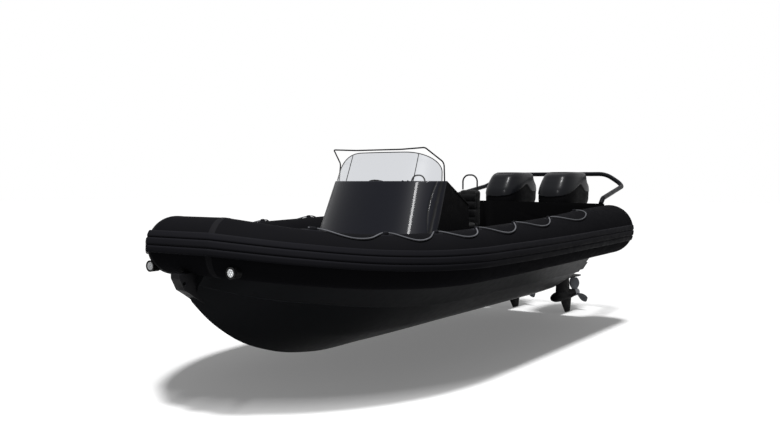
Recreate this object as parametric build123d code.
from build123d import *
from math import cos, pi, radians, sin, tan
import os

# Rigid inflatable boat with twin outboards, millimetres.
# +X runs forward, +Y to port, +Z up. The origin lies on the centreline, on the
# waterline plane, below the front of the console.

os.makedirs("parts", exist_ok=True)

# ---------------------------------------------------------------- driving sizes
FIT_GAP = 0.3              # air left between curved faces that only rest together
MOVE_GAP = 8.0             # air round a piece that moves

# overall
TRANSOM_X = -2850.0        # aft face of the hull; what hangs on it follows

# inflatable collar
TUBE_OUTER_Y = 1355.0      # centreline to the outside of the side tube
TUBE_STERN_R = 276.0
TUBE_STERN_Z = 415.0        # centre of the side tube at the stern
TUBE_BOW_R = 208.0
TUBE_BOW_X = 2364.0        # centre of the athwart bow tube
TUBE_BOW_Z = 505.0
BOW_HALF_WIDTH = 226.0     # centreline to the centre of each mitre
TUBE_END_X = TRANSOM_X - 245.0  # aft face of the stern cones
CONE_CORNER_R = 185.0      # rounding of the stern cones
# side tube from the stern to the mitre: x, outer y, centre z, radius, and the angles
# above the horizontal of the rub strake's top and bottom edges
TUBE_SECTIONS = [
    (TUBE_END_X + CONE_CORNER_R, TUBE_OUTER_Y, TUBE_STERN_Z, TUBE_STERN_R, 12.0, -26.0),
    (-2120.0, TUBE_OUTER_Y, 398.0, 264.0, 14.0, -25.0),
    (-1160.0, TUBE_OUTER_Y, 374.0, 242.0, 18.0, -23.0),
    (150.0, TUBE_OUTER_Y, 357.0, 226.0, 23.0, -20.0),
    (760.0, TUBE_OUTER_Y - 17.0, 355.0, 217.0, 25.0, -18.0),
    (1250.0, TUBE_OUTER_Y - 113.0, 366.0, 206.0, 27.0, -16.0),
    (1660.0, TUBE_OUTER_Y - 283.0, 390.0, 197.0, 30.0, -14.0),
    (2030.0, TUBE_OUTER_Y - 530.0, 436.0, 196.0, 32.0, -12.0),
    (TUBE_BOW_X, BOW_HALF_WIDTH + TUBE_BOW_R, TUBE_BOW_Z, TUBE_BOW_R, 33.0, -11.0),
]
STRAKE_THICK = 16.0
STRAKE_FACETS = 4

# hull
SOLE_Z = 60.0              # hull deck inside the cockpit
SOLE_THICK = 10.0
TRANSOM_THICK = 60.0
TRANSOM_TOP_Z = 385.0
EXTENSION_LENGTH = 180.0   # hull bottom carried aft of the transom
EXTENSION_INSET = 14.0
EXTENSION_TOP_OUT = 60.0   # its top edge, outboard of the chine
EXTENSION_TOP_Z = -10.0
# hull sections: x, keel z, strake y and z, chine inner y and z, chine outer y and z
HULL_SECTIONS = [
    (TRANSOM_X, -460, 430, -305, 715, -102, 745, -100),
    (-900.0, -462, 430, -303, 715, -100, 745, -98),
    (500.0, -460, 410, -298, 700, -80, 732, -78),
    (1150.0, -445, 340, -270, 620, -25, 652, -22),
    (1650.0, -352, 225, -185, 470, 50, 500, 54),
    (2050.0, -190, 125, -62, 285, 120, 312, 126),
    (2330.0, 10, 62, 95, 130, 200, 150, 206),
    (2440.0, 118, 42, 185, 62, 240, 70, 245),
]
# where the hull runs into the tube: degrees round its section, and share of its radius
TUBE_SEATS = [(242.0, 0.98), (194.0, 1.04)]
SEAT_MIN_SHARE = 0.5       # each seat lies at least this share of the last point's y outboard
# open cockpit inside the hull: x and half width
COCKPIT_PLAN = [(TRANSOM_X, 760.0), (500.0, 800.0), (1150.0, 730.0), (1400.0, 650.0)]
# raised bow locker ahead of it
BOW_STEP_PLAN = [(1400.0, 650.0), (1650.0, 560.0), (1960.0, 390.0)]
BOW_STEP_Z = 330.0
LID_THICK = 12.0
LID_INSET = 45.0

# stem head with the towing eye
STEM_HALF_W = 45.0
STEM_OUTLINE = [
    (2300.0, 60.0),
    (2494.0, 186.0),
    (2545.0, 216.0),
    (2590.0, 300.0),
    (2590.0, 330.0),
    (2380.0, 330.0),
]
EYE_R = 14.0
EYE_X = 2548.0
EYE_Z = 262.0

# console
CONSOLE_TOP_Z = 965.0
CONSOLE_TOP_X = 45.0       # side corner of the front, at the top
CONSOLE_TOP_HALF_W = 620.0
CONSOLE_RAKE = 0.46        # forward run of the front for each unit of drop
CONSOLE_FLARE = 0.055      # widening of the console for each unit of drop
CONSOLE_BULGE = 250.0      # how far the front stands ahead of its side corners
CONSOLE_DASH_X = 0.0       # where the top starts to slope down to the dash
CONSOLE_BACK_X = -375.0
CONSOLE_BACK_Z = CONSOLE_TOP_Z - 213.0  # height of the dash at its back edge
CONSOLE_WALL = 14.0
CONSOLE_FRONT_DEPTH = 40.0  # return of the front moulding along each side
DASH_THICK = 16.0

# windscreen and the rail round it
SCREEN_HEIGHT = 262.0
SCREEN_RAKE_X = 75.0
SCREEN_THICK = 6.0
SCREEN_INSET = 26.0
SCREEN_TOP_INSET = 66.0
RAIL_R = 6.5
RAIL_INSET = 6.0           # from the console's edge, before the values below
RAIL_RISE = 38.0           # top bar above the screen
# port half of the rail: x from the console's corner, y inboard of its edge, and height as
# a share of the whole rise
RAIL_POINTS = [(-37.0, 18.0, 0.0), (-48.0, 30.0, 0.55), (155.0, 106.0, 0.983), (145.0, 364.0, 0.947)]
RAIL_BENDS = [60.0, 25.0, 140.0]

# jockey seats
SEAT_Y = 310.0
SEAT_POD_FRONT_X = -560.0
SEAT_POD_BACK_X = -1080.0
SEAT_POD_HALF_W = 118.0
SEAT_POD_TOP_Z = 470.0
SEAT_CUSHION_H = 95.0
BACKREST_X = -985.0        # middle of the backrest
BACKREST_TOP_Z = 886.0
BACKREST_HALF_W = 122.0
BACKREST_THICK = 100.0
HOOP_TOP_Z = 1035.0
HOOP_HALF_W = 82.0
HOOP_R = 8.0
HOOP_BEND_R = 70.0
SEAT_TOE_IN = 60.0         # the pod's foot, behind its top front edge
CUSHION_FRONT_IN = 15.0
CUSHION_SIDE_IN = 4.0
CUSHION_CORNER_R = 50.0
BACKREST_CORNER_R = 60.0

# stern locker with the splash well behind it
LOCKER_FRONT_X = -1350.0
LOCKER_FRONT_HALF_W = 355.0
LOCKER_STERN_HALF_W = 1045.0
LOCKER_FRONT_Z = 762.0
LOCKER_OVER_TUBE = 15.0    # the locker's stern edge over the top of the tubes
LOCKER_STERN_Z = TUBE_STERN_Z + TUBE_STERN_R + LOCKER_OVER_TUBE
LOCKER_CORNER_R = 70.0
LOCKER_LEDGE = 10.0        # the locker's top line runs on this far past both ends
WELL_FRONT_X = TRANSOM_X + 560.0
WELL_HALF_W = LOCKER_STERN_HALF_W - 300.0
WELL_FLOOR_Z = 290.0

# stern guard rail, the port half from its foot to the top bar: x from the transom,
# y inboard of the locker's stern corner, and z above its stern edge
GUARD_R = 27.0
GUARD_POINTS = [
    (30.0, 31.0, 0.0),
    (-30.0, 29.0, 62.0),
    (-959.0, 101.0, 205.0),
    (-950.0, 323.0, 351.0),
]
GUARD_BENDS = [70.0, 130.0, 300.0]

# outboards
ENGINE_Y = 360.0
TILT_X = TRANSOM_X - 55.0
TILT_Z = 430.0
TILT_TUBE_R = 16.0
TILT_TUBE_OUT = 8.0        # tilt tube past each bracket plate
BRACKET_HALF_W = 74.0
BRACKET_PLATE = 13.0
BRACKET_BACK_THICK = 22.0
BRACKET_BACK_Z = (140.0, 320.0)
SWIVEL_X = TILT_X - 80.0
SWIVEL_R = 34.0
SWIVEL_BOTTOM_Z = 150.0
SWIVEL_TOP_Z = 560.0
SWIVEL_SIDE_GAP = 3.0
PIN_R = 20.0               # steering pin through the swivel tube
RUNNING_GAP = 0.08
LEG_BOTTOM_Z = -228.0
COWL_BOTTOM_Z = 622.0
COWL_SPLIT_Z = 790.0
COWL_HALF_W = 238.0
PROP_AXIS_Z = -462.0
PROP_X = SWIVEL_X - 715.0
PROP_R = 192.0
HUB_R = 50.0
HUB_LENGTH = 130.0
PROP_SHAFT_R = 15.0
PROP_SHAFT_REACH = 120.0   # shaft ahead of the hub, inside the gearcase
BLADES = 3
BLADE_THICK = 8.0
# blade sections: radius, chord and pitch angle in degrees
BLADE_SECTIONS = [(HUB_R - 8.0, 70.0, 62.0), (120.0, 120.0, 40.0), (PROP_R - 4.0, 60.0, 26.0)]
# in the tables below x is measured from the steering axis
# leg and gearcase strut: front x, back x, half width, z
LEG_FRONT = -SWIVEL_R - MOVE_GAP
LEG_SECTIONS = [
    (LEG_FRONT, -345.0, 78.0, COWL_BOTTOM_Z),
    (LEG_FRONT, -345.0, 78.0, SWIVEL_BOTTOM_Z),
    (-110.0, -435.0, 58.0, -60.0),
    (-115.0, -515.0, 42.0, LEG_BOTTOM_Z),
]
STRUT_SECTIONS = [LEG_SECTIONS[-1], (-105.0, -555.0, 44.0, PROP_AXIS_Z)]
SKEG_SECTIONS = [(-205.0, -615.0, 20.0, PROP_AXIS_Z), (-410.0, -560.0, 9.0, -688.0)]
# yokes of the leg over and under the swivel tube: half width, lower and upper z
UPPER_YOKE = (48.0, SWIVEL_TOP_Z + MOVE_GAP, COWL_BOTTOM_Z)
LOWER_YOKE = (36.0, SWIVEL_BOTTOM_Z - MOVE_GAP - 40.0, SWIVEL_BOTTOM_Z - MOVE_GAP)
YOKE_BACK = LEG_FRONT - 80.0
SPINE = (LEG_FRONT - 62.0, LEG_FRONT - 40.0)
SPINE_HALF_W = 30.0
# gearcase torpedo: x and radius
TORPEDO = [(25.0, 0.0), (-15.0, 34.0), (-95.0, 56.0), (-195.0, 64.0), (-435.0, 64.0)]
# plate over the propeller: back and front x, half width, thickness, corner radius
PLATE = (-775.0, -155.0)
PLATE_HALF_W = 112.0
PLATE_THICK = 10.0
PLATE_CORNER_R = 90.0
# cowl seen from the side: x and z
COWL_SIDE = [
    (80.0, COWL_BOTTOM_Z),
    (113.0, 660.0),
    (117.0, 800.0),
    (-75.0, 1050.0),
    (-165.0, 1082.0),
    (-575.0, 1074.0),
    (-715.0, 1050.0),
    (-780.0, 900.0),
    (-767.0, 720.0),
    (-665.0, COWL_BOTTOM_Z),
]
# cowl seen from ahead: y inboard of its half width, and z
COWL_FRONT = [(70.0, COWL_BOTTOM_Z), (0.0, 740.0), (0.0, 850.0), (62.0, 1090.0)]
# cowl seen from above: x, and y inboard of its half width
COWL_PLAN = [(125.0, 73.0), (25.0, 0.0), (-655.0, 0.0), (-790.0, 88.0)]
POWERHEAD_X = (-545.0, -85.0)
POWERHEAD_HALF_W = 160.0
POWERHEAD_TOP_Z = 980.0
POWERHEAD_LIFT = 30.0
ENGINE_ROOM_GAP = 10.0

# helm
HELM_Y = -310.0
HELM_X = -265.0
HELM_HUB_R = 38.0
HELM_HUB_GAP = 30.0        # hub short of the wheel's middle
WHEEL_R = 155.0
WHEEL_RIM_R = 13.0
WHEEL_STAND_OFF = 95.0
WHEEL_BOSS = (30.0, 38.0)  # radius and height
WHEEL_SPOKE = (26.0, 8.0)
WHEEL_SPOKES_DEG = (90.0, 210.0, 330.0)
THROTTLE_X = -200.0
THROTTLE_BASE = (110.0, 130.0, 60.0)
THROTTLE_LEVER = (16.0, 24.0, 90.0)
THROTTLE_LEVER_Y = 30.0

# bow lamps
LAMP_Y = 403.0
LAMP_Z = 352.0
LAMP_R = 42.0
LAMP_LENGTH = 84.0
LAMP_BEZEL = 7.0
LAMP_LENS_THICK = 8.0
# foot under the tube: x from the lamp's face, half width, z from the lamp's axis
LAMP_FOOT_X = (-150.0, -40.0)
LAMP_FOOT_HALF_W = 22.0
LAMP_FOOT_Z = (-8.0, 60.0)

SIDES = [("port", 1.0), ("starboard", -1.0)]
OPEN_TOP_Z = 2000.0        # above everything that is cut open to the sky
FAR = 3000.0               # past everything that is cut

# grab rope along each side tube, through a row of rubber patches
ROPE_R = 6.0
ROPE_ARC_SHARE = 0.45      # of the shorter run, taken by each arc
PATCH_SIZE = (140.0, 62.0, 6.0)
KEEPER_SIZE = (46.0, 34.0, 26.0)
# patches of the port side: station x and degrees above the horizontal, round the tube
PATCHES = [
    (1975.0, 88.0),
    (1500.0, 81.0),
    (1030.0, 80.0),
    (475.0, 80.0),
    (-215.0, 80.0),
    (-985.0, 79.0),
    (-1812.0, 91.0),
]


# ---------------------------------------------------------------- helpers
def save(shape, node):
    """Write one node and say how large it is."""
    export_step(shape, f"parts/{node}.step")
    size = shape.bounding_box().size
    print(f"{node:28s} {len(shape.solids())} {size.X:8.1f} {size.Y:8.1f} {size.Z:8.1f}")


def mirrored(shape):
    """The same shape on the other side of the centreline."""
    return mirror(shape, about=Plane.XZ)


def both_sides(shape):
    """The port shape with its mirror image to starboard, as separate solids."""
    return Compound(children=[*shape.solids(), *mirrored(shape).solids()])


def face_of(points):
    return make_face(Polyline(*points, close=True))


def block(x_range, y_range, z_range):
    """A box between two values on each axis."""
    ranges = (x_range, y_range, z_range)
    size = [high - low for low, high in ranges]
    middle = [(high + low) / 2 for low, high in ranges]
    return Pos(*middle) * Box(*size)


def prism(half_plan, z_low, z_high):
    """An upright solid whose plan is given by its port half, X and Y."""
    outline = [(x, y, z_low) for x, y in half_plan]
    outline += [(x, -y, z_low) for x, y in reversed(half_plan)]
    return extrude(face_of(outline), amount=z_high - z_low, dir=(0, 0, 1))


def side_plate(points_xz, y_low, y_high):
    """A plate cut to an outline in X and Z, between two values of Y."""
    outline = face_of([(x, y_low, z) for x, z in points_xz])
    return extrude(outline, amount=y_high - y_low, dir=(0, 1, 0))


def pipe(points, radii, pipe_radius):
    """A round bar along straight runs joined by tangent bends."""
    path = FilletPolyline(*points, radius=radii)
    start = Plane(origin=path @ 0, z_dir=path % 0)
    return sweep(start * Circle(pipe_radius), path=path)


# ---------------------------------------------------------------- collar
def tube_centres():
    """Centre points of the side tube's sections: the outer edge less the radius."""
    return [Vector(x, outer - radius, z) for x, outer, z, radius, *_ in TUBE_SECTIONS]


def section_plane(i):
    """The plane across the side tube at section i, and the half turn of its mitre.

    The plane's own X axis points outboard and level, and its Y axis points up."""
    centres = tube_centres()
    here = centres[i]
    last = len(centres) - 1
    before = (here - centres[i - 1]).normalized() if i > 0 else Vector(1, 0, 0)
    after = (centres[i + 1] - here).normalized() if i < last else Vector(0, -1, 0)
    if i == 0:
        after = before
    along = (before + after).normalized()
    half_turn = radians(before.get_angle(after)) / 2
    outboard = along.cross(Vector(0, 0, 1)).normalized() * -1
    return Plane(origin=here, x_dir=outboard, z_dir=along), half_turn


def stern_cone(extra):
    """The rounded closed end of the side tube."""
    radius = TUBE_STERN_R + extra
    start = TUBE_END_X + CONE_CORNER_R
    round_r = CONE_CORNER_R + extra
    flat = radius - round_r
    middle = (start - round_r * sin(pi / 4), flat + round_r * cos(pi / 4))
    outline = Polyline((start, 0), (start, radius))
    outline += ThreePointArc((start, radius), middle, (start - round_r, flat))
    outline += Polyline((start - round_r, flat), (start - round_r, 0), (start, 0))
    centre = tube_centres()[0]
    return Pos(0, centre.Y, centre.Z) * revolve(make_face(outline), axis=Axis.X)


def side_tube(extra=0.0):
    """Side tube from the stern cone to the mitre, ruled between elliptical sections."""
    faces = []
    for i, row in enumerate(TUBE_SECTIONS):
        plane, half_turn = section_plane(i)
        radius = row[3] + extra
        faces.append(plane * make_face(Ellipse(radius / cos(half_turn), radius).edge()))
    return loft(faces, ruled=True)


def bow_tube(extra=0.0):
    """Athwart bow tube between its two mitres."""
    plane, half_turn = section_plane(len(TUBE_SECTIONS) - 1)
    radius = TUBE_BOW_R + extra
    port_face = plane * make_face(Ellipse(radius / cos(half_turn), radius).edge())
    return loft([port_face, mirrored(port_face)], ruled=True)


def strake_face(i):
    """Strake section at tube section i: a band of flat facets laid on the tube."""
    radius, top_deg, bottom_deg = TUBE_SECTIONS[i][3:6]
    plane, half_turn = section_plane(i)
    step = (top_deg - bottom_deg) / STRAKE_FACETS
    angles = [radians(bottom_deg + step * k) for k in range(STRAKE_FACETS + 1)]
    seat = (radius + FIT_GAP) / cos(radians(step / 2))
    crown = seat + STRAKE_THICK
    inner = [(seat * cos(a) / cos(half_turn), seat * sin(a)) for a in angles]
    outer = [(crown * cos(a) / cos(half_turn), crown * sin(a)) for a in reversed(angles)]
    return plane * face_of(inner + outer)


port_tube = side_tube()
save(port_tube, "port_tube")
save(mirrored(port_tube), "starboard_tube")
port_cone = stern_cone(0.0)
save(port_cone, "port_stern_cone")
save(mirrored(port_cone), "starboard_stern_cone")
save(bow_tube(), "bow_tube")

strake_faces = [strake_face(i) for i in range(len(TUBE_SECTIONS))]
port_strake = loft(strake_faces, ruled=True)
save(port_strake, "port_rub_strake")
save(mirrored(port_strake), "starboard_rub_strake")
save(loft([strake_faces[-1], mirrored(strake_faces[-1])], ruled=True), "bow_rub_strake")

port_cut = [side_tube(FIT_GAP), stern_cone(FIT_GAP)]
collar_cut = port_cut + [mirrored(piece) for piece in port_cut] + [bow_tube(FIT_GAP)]


# ---------------------------------------------------------------- hull
def collar_at(x):
    """Centre y, centre z and radius of the side tube where it crosses station x."""
    rows = [(c.X, c.Y, c.Z, row[3]) for c, row in zip(tube_centres(), TUBE_SECTIONS)]
    if x >= rows[-1][0]:
        return rows[-1][1:]
    for low, high in zip(rows, rows[1:]):
        if x <= high[0]:
            share = (x - low[0]) / (high[0] - low[0])
            return tuple(a + (b - a) * share for a, b in zip(low[1:], high[1:]))


def hull_points(row):
    """Port half of a hull section's keel and chines: y and z."""
    keel, *pairs = row[1:]
    return [(0.0, keel)] + list(zip(pairs[0::2], pairs[1::2]))


def hull_face(row):
    """One hull section across the boat, from its row of the table to the collar."""
    x = row[0]
    half = hull_points(row)
    y, z, radius = collar_at(x)
    for degrees_round, reach in TUBE_SEATS:
        angle = radians(degrees_round)
        seat_y = max(y + radius * reach * cos(angle), half[-1][0] * SEAT_MIN_SHARE)
        half.append((seat_y, z + radius * reach * sin(angle)))
    port = [(x, y, z) for y, z in half]
    return face_of(port + [(x, -y, z) for x, y, z in reversed(port[1:])])


hull = loft([hull_face(row) for row in HULL_SECTIONS], ruled=True)
for grown in collar_cut:
    hull -= grown
cockpit = prism(COCKPIT_PLAN, SOLE_Z, OPEN_TOP_Z)
hull -= cockpit
hull -= prism(BOW_STEP_PLAN, BOW_STEP_Z, OPEN_TOP_Z)
save(hull, "hull")
lid_plan = [(x - LID_INSET, y - LID_INSET) for x, y in BOW_STEP_PLAN]
lid_plan[0] = (BOW_STEP_PLAN[0][0] + LID_INSET, lid_plan[0][1])
save(prism(lid_plan, BOW_STEP_Z, BOW_STEP_Z + LID_THICK), "bow_locker_lid")

# the hull bottom carried aft of the transom, as a shallow pod below the engines
pod = hull_points(HULL_SECTIONS[0])
pod.append((pod[-1][0] + EXTENSION_TOP_OUT, EXTENSION_TOP_Z))
pod = [(max(y - EXTENSION_INSET, 0.0), z + EXTENSION_INSET) for y, z in pod]
pod_outline = [(TRANSOM_X, y, z) for y, z in pod]
pod_outline += [(TRANSOM_X, -y, z) for y, z in reversed(pod[1:])]
save(extrude(face_of(pod_outline), amount=EXTENSION_LENGTH, dir=(-1, 0, 0)), "hull_extension")

transom_half_w = COCKPIT_PLAN[0][1] - FIT_GAP
transom_x = (TRANSOM_X, TRANSOM_X + TRANSOM_THICK)
transom = block(transom_x, (-transom_half_w, transom_half_w), (SOLE_Z, TRANSOM_TOP_Z))
for grown in collar_cut:
    transom -= grown
save(transom, "transom")

sole_plan = [(LOCKER_FRONT_X + FIT_GAP, transom_half_w)]
sole_plan += [(x - FIT_GAP, y - FIT_GAP) for x, y in COCKPIT_PLAN[1:]]
save(prism(sole_plan, SOLE_Z, SOLE_Z + SOLE_THICK), "cockpit_sole")
SOLE_TOP_Z = SOLE_Z + SOLE_THICK

# stem head: a narrow plate under the bow tube, cross-drilled for a shackle
stem = side_plate(STEM_OUTLINE, -STEM_HALF_W, STEM_HALF_W)
stem -= hull
stem -= collar_cut[-1]
stem -= Pos(EYE_X, 0, EYE_Z) * Rot(90, 0, 0) * Cylinder(EYE_R, 4 * STEM_HALF_W)
stem = max(stem.solids(), key=lambda s: s.volume)
save(stem, "stem_head")

# bow lamps: round housings hung on the tube by a small foot, their lenses clear ahead of its skin
lamp_sight = Plane(origin=(0, LAMP_Y, LAMP_Z), z_dir=(1, 0, 0)) * extrude(Circle(LAMP_R), amount=FAR)
in_sight = [grown & lamp_sight for grown in port_cut]
skin_x = max(shape.bounding_box().max.X for shape in in_sight if shape)
lens_x = skin_x + FIT_GAP
lamp_x = lens_x + LAMP_LENS_THICK
lamp_axis = Plane(origin=(lamp_x - LAMP_LENGTH, LAMP_Y, LAMP_Z), z_dir=(1, 0, 0))
lens_axis = Plane(origin=(lens_x, LAMP_Y, LAMP_Z), z_dir=(1, 0, 0))
lamp_body = lamp_axis * extrude(Circle(LAMP_R), amount=LAMP_LENGTH - LAMP_LENS_THICK)
lamp_lens = lens_axis * extrude(Circle(LAMP_R - LAMP_BEZEL), amount=LAMP_LENS_THICK)
lamp_body += block([lamp_x + x for x in LAMP_FOOT_X],
                   (LAMP_Y - LAMP_FOOT_HALF_W, LAMP_Y + LAMP_FOOT_HALF_W),
                   [LAMP_Z + z for z in LAMP_FOOT_Z])
for grown in collar_cut:
    lamp_body -= grown
lamp_body = max(lamp_body.solids(), key=lambda s: s.volume)
save(both_sides(lamp_body), "bow_lamp_housings")
save(both_sides(lamp_lens), "bow_lamp_lenses")


# ---------------------------------------------------------------- console
def console_size(z, inset):
    """Side corner X, half width and nose X of the console at height z."""
    drop = CONSOLE_TOP_Z - z
    corner_x = CONSOLE_TOP_X + CONSOLE_RAKE * drop
    half_w = CONSOLE_TOP_HALF_W + CONSOLE_FLARE * drop - inset
    return corner_x, half_w, corner_x + CONSOLE_BULGE - inset


def console_face(z, inset):
    """Plan of the console at height z: a curved front, straight sides and back."""
    corner_x, half_w, nose_x = console_size(z, inset)
    back_x = CONSOLE_BACK_X + inset
    outline = ThreePointArc((corner_x, half_w, z), (nose_x, 0, z), (corner_x, -half_w, z))
    back = [(corner_x, -half_w, z), (back_x, -half_w, z), (back_x, half_w, z), (corner_x, half_w, z)]
    outline += Polyline(*back)
    return make_face(outline)


def console_solid(inset):
    return loft([console_face(SOLE_TOP_Z, inset), console_face(CONSOLE_TOP_Z, inset)], ruled=True)


# the dash slopes down from the console's top to its back, drawn past the back edge
dash_slope = (CONSOLE_TOP_Z - CONSOLE_BACK_Z) / (CONSOLE_DASH_X - CONSOLE_BACK_X)
past_back = CONSOLE_BACK_X - 50.0


def dash_z(x):
    """Height of the dash's upper face at x."""
    return CONSOLE_TOP_Z + (x - CONSOLE_DASH_X) * dash_slope


dash_line = [(past_back, dash_z(past_back)), (CONSOLE_DASH_X, CONSOLE_TOP_Z)]
over_dash = side_plate(dash_line + [(FAR, CONSOLE_TOP_Z), (FAR, FAR), (past_back, FAR)], -FAR, FAR)
under_line = [(x, z - DASH_THICK) for x, z in dash_line + [(FAR, CONSOLE_TOP_Z)]]
under_dash = side_plate(under_line + [(FAR, -FAR), (past_back, -FAR)], -FAR, FAR)
front_bottom_x = console_size(SOLE_TOP_Z, 0)[0] - CONSOLE_FRONT_DEPTH
front_top_x = console_size(CONSOLE_TOP_Z, 0)[0] - CONSOLE_FRONT_DEPTH
front_line = [
    (front_bottom_x, SOLE_TOP_Z),
    (FAR, SOLE_TOP_Z),
    (FAR, CONSOLE_TOP_Z),
    (front_top_x, CONSOLE_TOP_Z),
]
front_region = side_plate(front_line, -FAR, FAR)

console_outer = console_solid(0.0)
console_inner = console_solid(CONSOLE_WALL) & under_dash
console_outer = console_outer - over_dash
console_front = (console_outer & front_region) - console_inner
console_rest = (console_outer - front_region) - console_inner
save(console_front, "console_front")
save(console_rest & under_dash, "console_shell")
dashboard = console_rest - under_dash
save(dashboard, "dashboard")


# windscreen: a curved sheet standing on the console's front moulding
def screen_face(z, inset, back):
    """Section of the windscreen at height z, moved back from the console's edge."""
    corner_x, half_w, nose_x = console_size(CONSOLE_TOP_Z, inset)
    corner_x -= back
    outer_nose = nose_x - back
    inner_nose = outer_nose - SCREEN_THICK
    inner_w = half_w - SCREEN_THICK
    outline = ThreePointArc((corner_x, half_w, z), (outer_nose, 0, z), (corner_x, -half_w, z))
    outline += Line((corner_x, -half_w, z), (corner_x, -inner_w, z))
    outline += ThreePointArc((corner_x, -inner_w, z), (inner_nose, 0, z), (corner_x, inner_w, z))
    outline += Line((corner_x, inner_w, z), (corner_x, half_w, z))
    return make_face(outline)


screen = loft([screen_face(CONSOLE_TOP_Z, SCREEN_INSET, 0.0),
               screen_face(CONSOLE_TOP_Z + SCREEN_HEIGHT, SCREEN_TOP_INSET, SCREEN_RAKE_X)], ruled=True)
save(screen, "windscreen")

rail_x, rail_w = console_size(CONSOLE_TOP_Z, RAIL_INSET)[:2]
rail_height = SCREEN_HEIGHT + RAIL_RISE
half_rail = [(rail_x + x, rail_w - y, CONSOLE_TOP_Z + rail_height * rise) for x, y, rise in RAIL_POINTS]
rail_points = half_rail + [(x, -y, z) for x, y, z in reversed(half_rail)]
rail = pipe(rail_points, RAIL_BENDS + list(reversed(RAIL_BENDS)), RAIL_R)
rail -= console_outer
save(rail, "grab_rail")

# ---------------------------------------------------------------- helm
dash_normal = Vector(-dash_slope, 0, 1).normalized()
helm_plane = Plane(origin=(HELM_X, HELM_Y, dash_z(HELM_X)), z_dir=dash_normal)
helm_hub = helm_plane * extrude(Circle(HELM_HUB_R), amount=WHEEL_STAND_OFF - HELM_HUB_GAP)
save(helm_hub, "helm_hub")
rim_r = WHEEL_R - WHEEL_RIM_R
boss_r, boss_h = WHEEL_BOSS
wheel = Pos(0, 0, WHEEL_STAND_OFF) * Torus(rim_r, WHEEL_RIM_R)
wheel += Pos(0, 0, WHEEL_STAND_OFF - 10) * Cylinder(boss_r, boss_h)
for turn in WHEEL_SPOKES_DEG:
    spoke = Pos(rim_r / 2, 0, WHEEL_STAND_OFF) * Box(rim_r, *WHEEL_SPOKE)
    wheel += Rot(0, 0, turn) * spoke
save(helm_plane * wheel, "steering_wheel")
throttle_plane = Plane(origin=(THROTTLE_X, 0, dash_z(THROTTLE_X)), x_dir=(0, 1, 0), z_dir=dash_normal)
base_h = THROTTLE_BASE[2]
throttle = Pos(0, 0, base_h / 2) * Box(*THROTTLE_BASE)
for y in (-THROTTLE_LEVER_Y, THROTTLE_LEVER_Y):
    throttle += Pos(y, 0, base_h * 1.5) * Box(*THROTTLE_LEVER)
save(throttle_plane * throttle, "throttle_control")

# ---------------------------------------------------------------- seats
pod_x = (SEAT_POD_BACK_X, SEAT_POD_FRONT_X)
pod_y = (SEAT_Y - SEAT_POD_HALF_W, SEAT_Y + SEAT_POD_HALF_W)
pod_outline = [
    (pod_x[0], SOLE_TOP_Z),
    (pod_x[1] - SEAT_TOE_IN, SOLE_TOP_Z),
    (pod_x[1], SEAT_POD_TOP_Z),
    (pod_x[0], SEAT_POD_TOP_Z),
]
seat_pod = side_plate(pod_outline, *pod_y)
save(both_sides(seat_pod), "seat_pods")
cushion_z = (SEAT_POD_TOP_Z, SEAT_POD_TOP_Z + SEAT_CUSHION_H)
backrest_front = BACKREST_X + BACKREST_THICK / 2
cushion_x = (backrest_front + 1, pod_x[1] + CUSHION_FRONT_IN)
cushion_y = (pod_y[0] - CUSHION_SIDE_IN, pod_y[1] + CUSHION_SIDE_IN)
cushion = block(cushion_x, cushion_y, cushion_z)
save(both_sides(fillet(cushion.edges().filter_by(Axis.Z), CUSHION_CORNER_R)), "seat_cushions")
backrest = block((BACKREST_X - BACKREST_THICK / 2, backrest_front),
                 (SEAT_Y - BACKREST_HALF_W, SEAT_Y + BACKREST_HALF_W),
                 (SEAT_POD_TOP_Z, BACKREST_TOP_Z))
backrest = fillet(backrest.edges().filter_by(Axis.X).sort_by(Axis.Z)[-2:], BACKREST_CORNER_R)
save(both_sides(backrest), "seat_backrests")
hoop_low = BACKREST_TOP_Z
hoop_points = [
    (BACKREST_X, SEAT_Y + HOOP_HALF_W, BACKREST_TOP_Z),
    (BACKREST_X, SEAT_Y + HOOP_HALF_W, HOOP_TOP_Z - HOOP_R),
    (BACKREST_X, SEAT_Y - HOOP_HALF_W, HOOP_TOP_Z - HOOP_R),
    (BACKREST_X, SEAT_Y - HOOP_HALF_W, BACKREST_TOP_Z),
]
save(both_sides(pipe(hoop_points, [HOOP_BEND_R, HOOP_BEND_R], HOOP_R)), "seat_hoops")

# ---------------------------------------------------------------- stern locker
locker = prism([(LOCKER_FRONT_X, LOCKER_FRONT_HALF_W), (TRANSOM_X, LOCKER_STERN_HALF_W)], SOLE_Z, OPEN_TOP_Z)
front_corners = locker.edges().filter_by(Axis.Z).sort_by(Axis.X)[-2:]
locker = fillet(front_corners, LOCKER_CORNER_R)
over_locker = [
    (LOCKER_FRONT_X + LOCKER_LEDGE, LOCKER_FRONT_Z),
    (TRANSOM_X - LOCKER_LEDGE, LOCKER_STERN_Z),
    (TRANSOM_X - LOCKER_LEDGE, FAR),
    (LOCKER_FRONT_X + LOCKER_LEDGE, FAR),
]
locker -= side_plate(over_locker, -FAR, FAR)
locker -= block((TRANSOM_X - LOCKER_LEDGE, WELL_FRONT_X), (-WELL_HALF_W, WELL_HALF_W), (WELL_FLOOR_Z, FAR))
locker -= transom
locker -= hull
for grown in collar_cut:
    locker -= grown
locker = max(locker.solids(), key=lambda s: s.volume)
save(locker, "stern_locker")

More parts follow.
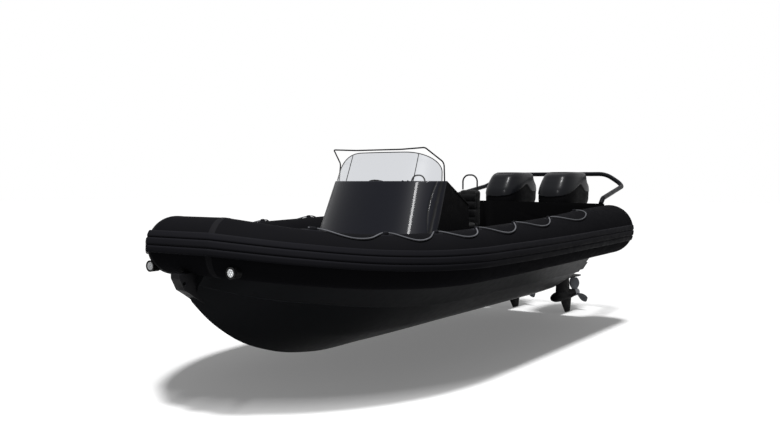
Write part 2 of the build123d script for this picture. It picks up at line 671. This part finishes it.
guard_half = [(TRANSOM_X + x, LOCKER_STERN_HALF_W - y, LOCKER_STERN_Z + z) for x, y, z in GUARD_POINTS]
guard_points = guard_half + [(x, -y, z) for x, y, z in reversed(guard_half)]
guard = pipe(guard_points, GUARD_BENDS + list(reversed(GUARD_BENDS)), GUARD_R) - locker
save(guard, "stern_guard_rail")


# ---------------------------------------------------------------- outboards
def lens_face(x_front, x_back, half_w, z):
    """A streamlined section at height z, from the steering axis: two arcs, pointed fore and aft."""
    middle_x = (x_front + x_back) / 2
    outline = ThreePointArc((x_front, 0, z), (middle_x, half_w, z), (x_back, 0, z))
    outline += ThreePointArc((x_back, 0, z), (middle_x, -half_w, z), (x_front, 0, z))
    return Pos(SWIVEL_X, 0, 0) * make_face(outline)


def from_axis(points):
    """Points of a table whose x is measured from the steering axis, moved to their place."""
    return [(SWIVEL_X + x, other) for x, other in points]


def outboard_cowl():
    """The outer form of the cowl, as the overlap of its three views."""
    cowl = side_plate(from_axis(COWL_SIDE), -COWL_HALF_W, COWL_HALF_W)
    port_edge = [(COWL_HALF_W - inboard, z) for inboard, z in COWL_FRONT]
    front = port_edge + [(-y, z) for y, z in reversed(port_edge)]
    cowl &= extrude(face_of([(0.0, y, z) for y, z in front]), amount=FAR * 2, dir=(-1, 0, 0))
    plan = [(x, COWL_HALF_W - inboard) for x, inboard in from_axis(COWL_PLAN)]
    return cowl & prism(plan, 0.0, FAR)


def outboard():
    """One outboard on the centreline: its nodes as a dictionary of solids."""
    parts = {}
    tilt_axis = Pos(TILT_X, 0, TILT_Z) * Rot(90, 0, 0)
    steering_axis = Pos(SWIVEL_X, 0, (SWIVEL_BOTTOM_Z + SWIVEL_TOP_Z) / 2)
    swivel_height = SWIVEL_TOP_Z - SWIVEL_BOTTOM_Z

    plate_in = BRACKET_HALF_W - BRACKET_PLATE
    bracket_side = [
        (TRANSOM_X, BRACKET_BACK_Z[0]),
        (TRANSOM_X - 60, BRACKET_BACK_Z[0] + 20),
        (TRANSOM_X - 85, TILT_Z - 30),
        (TILT_X - 28, TILT_Z + 24),
        (TILT_X + 10, TILT_Z + 34),
        (TRANSOM_X + 6, TILT_Z + 10),
        (TRANSOM_X, TRANSOM_TOP_Z),
    ]
    bracket = side_plate(bracket_side, plate_in, BRACKET_HALF_W)
    bracket += mirrored(bracket)
    bracket += block((TRANSOM_X - BRACKET_BACK_THICK, TRANSOM_X), (-plate_in, plate_in), BRACKET_BACK_Z)
    bracket += tilt_axis * Cylinder(TILT_TUBE_R, 2 * (BRACKET_HALF_W + TILT_TUBE_OUT))
    parts["clamp_bracket"] = bracket

    swivel_in = plate_in - SWIVEL_SIDE_GAP
    swivel_side = [
        (SWIVEL_X, SWIVEL_BOTTOM_Z + 30),
        (SWIVEL_X + 22, SWIVEL_BOTTOM_Z + 30),
        (TILT_X + 6, TILT_Z - 30),
        (TILT_X + 26, TILT_Z - 16),
        (TILT_X + 26, TILT_Z + 22),
        (TILT_X, TILT_Z + 32),
        (SWIVEL_X, TILT_Z + 40),
    ]
    swivel = side_plate(swivel_side, -swivel_in, swivel_in)
    swivel += steering_axis * Cylinder(SWIVEL_R, swivel_height)
    swivel -= tilt_axis * Cylinder(TILT_TUBE_R + FIT_GAP, FAR)
    swivel -= steering_axis * Cylinder(PIN_R + RUNNING_GAP, FAR)
    parts["swivel_bracket"] = swivel

    # midsection: leg aft of the swivel tube, with a yoke over it and one under it
    leg = loft([lens_face(*row) for row in LEG_SECTIONS], ruled=True)
    axis_room = (SWIVEL_BOTTOM_Z - 10, SWIVEL_TOP_Z + 10)
    leg -= block((SWIVEL_X + SPINE[0] + 2, 0), (-FAR, FAR), axis_room)
    spine_x = [SWIVEL_X + x for x in SPINE]
    leg += block(spine_x, (-SPINE_HALF_W, SPINE_HALF_W), (SWIVEL_BOTTOM_Z - 30, COWL_BOTTOM_Z))
    for half_w, low_z, high_z in (UPPER_YOKE, LOWER_YOKE):
        leg += block((SWIVEL_X + YOKE_BACK, SWIVEL_X + SWIVEL_R), (-half_w, half_w), (low_z, high_z))
    leg += steering_axis * Cylinder(PIN_R, swivel_height + 2 * MOVE_GAP)
    parts["midsection"] = leg

    # gearcase: strut, torpedo, skeg and the plate over the propeller
    strut = loft([lens_face(*row) for row in STRUT_SECTIONS], ruled=True)
    torpedo_end = PROP_X + HUB_LENGTH / 2 + MOVE_GAP
    torpedo_outline = from_axis(TORPEDO) + [(torpedo_end, HUB_R), (torpedo_end, 0)]
    torpedo = Pos(0, 0, PROP_AXIS_Z) * revolve(face_of(torpedo_outline), axis=Axis.X)
    skeg = loft([lens_face(*row) for row in SKEG_SECTIONS], ruled=True)
    plate_x = [SWIVEL_X + x for x in PLATE]
    plate_top = LEG_BOTTOM_Z - 4
    plate = block(plate_x, (-PLATE_HALF_W, PLATE_HALF_W), (plate_top - PLATE_THICK, plate_top))
    plate = fillet(plate.edges().filter_by(Axis.Z), PLATE_CORNER_R)
    gearcase = strut + torpedo + skeg + plate
    shaft_run = HUB_LENGTH / 2 + PROP_SHAFT_REACH
    shaft_spot = Pos(PROP_X + shaft_run / 2, 0, PROP_AXIS_Z) * Rot(0, 90, 0)
    gearcase -= shaft_spot * Cylinder(PROP_SHAFT_R + RUNNING_GAP, shaft_run + 2 * MOVE_GAP)
    parts["gearcase"] = gearcase

    powerhead_x = [SWIVEL_X + x for x in POWERHEAD_X]
    powerhead_z = (COWL_BOTTOM_Z + POWERHEAD_LIFT, POWERHEAD_TOP_Z)
    parts["powerhead"] = block(powerhead_x, (-POWERHEAD_HALF_W, POWERHEAD_HALF_W), powerhead_z)
    room_half_w = POWERHEAD_HALF_W + ENGINE_ROOM_GAP
    room_x = (powerhead_x[0] - ENGINE_ROOM_GAP, powerhead_x[1] + ENGINE_ROOM_GAP)
    room = block(room_x, (-room_half_w, room_half_w), (powerhead_z[0], powerhead_z[1] + ENGINE_ROOM_GAP))
    cowl = outboard_cowl() - room
    upper = block((-2 * FAR, 0), (-FAR, FAR), (COWL_SPLIT_Z, FAR))
    parts["cowl_upper"] = cowl & upper
    parts["cowl_lower"] = cowl - upper

    blade_faces = []
    for reach, chord, pitch_deg in BLADE_SECTIONS:
        half_x = chord / 2 * sin(radians(pitch_deg))
        half_y = chord / 2 * cos(radians(pitch_deg))
        half_t = BLADE_THICK / 2
        corners = [
            (-half_x - half_t, -half_y),
            (-half_x + half_t, -half_y),
            (half_x + half_t, half_y),
            (half_x - half_t, half_y),
        ]
        blade_faces.append(face_of([(x, y, reach) for x, y in corners]))
    blade = loft(blade_faces, ruled=True)
    propeller = Rot(0, 90, 0) * Cylinder(HUB_R, HUB_LENGTH)
    for k in range(BLADES):
        propeller += Rot(360 / BLADES * k, 0, 0) * blade
    propeller = Pos(PROP_X, 0, PROP_AXIS_Z) * propeller
    parts["propeller"] = propeller + shaft_spot * Cylinder(PROP_SHAFT_R, shaft_run)
    return parts


engine = outboard()
for side, sign in SIDES:
    for name, solid in engine.items():
        save(Pos(0, sign * ENGINE_Y, 0) * solid, f"{side}_{name}")


# ---------------------------------------------------------------- grab ropes
# centre line of the port grab rope, fore to aft, looped between its patches:
# x, y inboard of the collar's outer edge, and z
ROPE_ROUTE = [
    (1982, 690, 641),
    (1940, 649, 635),
    (1910, 576, 620),
    (1875, 492, 591),
    (1804, 417, 563),
    (1697, 361, 560),
    (1594, 368, 582),
    (1505, 387, 593),
    (1450, 337, 585),
    (1409, 254, 555),
    (1327, 188, 528),
    (1204, 176, 541),
    (1110, 210, 570),
    (1036, 246, 583),
    (970, 211, 578),
    (900, 143, 555),
    (806, 92, 532),
    (683, 84, 533),
    (587, 108, 554),
    (522, 155, 578),
    (471, 193, 588),
    (397, 172, 586),
    (317, 117, 566),
    (218, 73, 540),
    (105, 59, 531),
    (1, 72, 544),
    (-94, 104, 568),
    (-163, 150, 592),
    (-217, 188, 603),
    (-298, 172, 601),
    (-388, 128, 587),
    (-489, 88, 566),
    (-610, 72, 555),
    (-729, 79, 563),
    (-834, 108, 586),
    (-918, 152, 609),
    (-987, 191, 621),
    (-1082, 184, 622),
    (-1176, 146, 612),
    (-1278, 104, 594),
    (-1394, 79, 580),
    (-1524, 73, 580),
    (-1649, 85, 594),
    (-1748, 109, 615),
    (-1829, 138, 635),
    (-1870, 188, 655),
    (-1856, 244, 663),
    (-1798, 266, 661),
]


def collar_spot(x, degrees):
    """Plane on the port tube's skin at station x, its X axis along the tube and Z outward."""
    y, z, radius = collar_at(x)
    ahead = Vector(1, collar_at(x + 1)[0] - y, collar_at(x + 1)[1] - z).normalized()
    outboard = Vector(0, 0, 1).cross(ahead).normalized()
    outward = outboard * cos(radians(degrees)) + ahead.cross(outboard).normalized() * sin(radians(degrees))
    return Plane(origin=Vector(x, y, z) + outward * radius, x_dir=ahead, z_dir=outward)


def rope_path(points):
    """Runs joined by arcs, each as large as its two runs allow, and the arcs' radii."""
    spots = [Vector(*point) for point in points]
    radii = []
    for before, here, after in zip(spots, spots[1:], spots[2:]):
        arriving = here - before
        leaving = after - here
        half_turn = radians(arriving.get_angle(leaving)) / 2
        radii.append(ROPE_ARC_SHARE * min(arriving.length, leaving.length) / tan(half_turn))
    return FilletPolyline(*spots, radius=radii), radii


rope_points = [(x, TUBE_OUTER_Y - inboard, z) for x, inboard, z in ROPE_ROUTE]
route, bends = rope_path(rope_points)
runs = [(Vector(*b) - Vector(*a)).length for a, b in zip(rope_points, rope_points[1:])]
print("rope radii", [round(r) for r in bends], "runs", [round(r) for r in runs])
route_start = Plane(origin=route @ 0, z_dir=route % 0)
rope = sweep(route_start * Circle(ROPE_R), path=route)
print("rope volume over section times length", round(rope.volume / (pi * ROPE_R**2 * route.length), 4))
save(rope, "port_grab_rope")
save(mirrored(rope), "starboard_grab_rope")

rope_hole = sweep(route_start * Circle(ROPE_R + FIT_GAP), path=route)
patches = []
for x, degrees in PATCHES:
    spot = collar_spot(x, degrees)
    patch = spot * Box(PATCH_SIZE[0], PATCH_SIZE[1], 2 * PATCH_SIZE[2])
    patch += spot * Pos(0, 0, PATCH_SIZE[2] + KEEPER_SIZE[2] / 2) * Box(*KEEPER_SIZE)
    patch -= collar_cut[0]
    patch -= rope_hole
    patches.append(max(patch.solids(), key=lambda s: s.volume))
save(both_sides(Compound(children=patches)), "rope_patches")
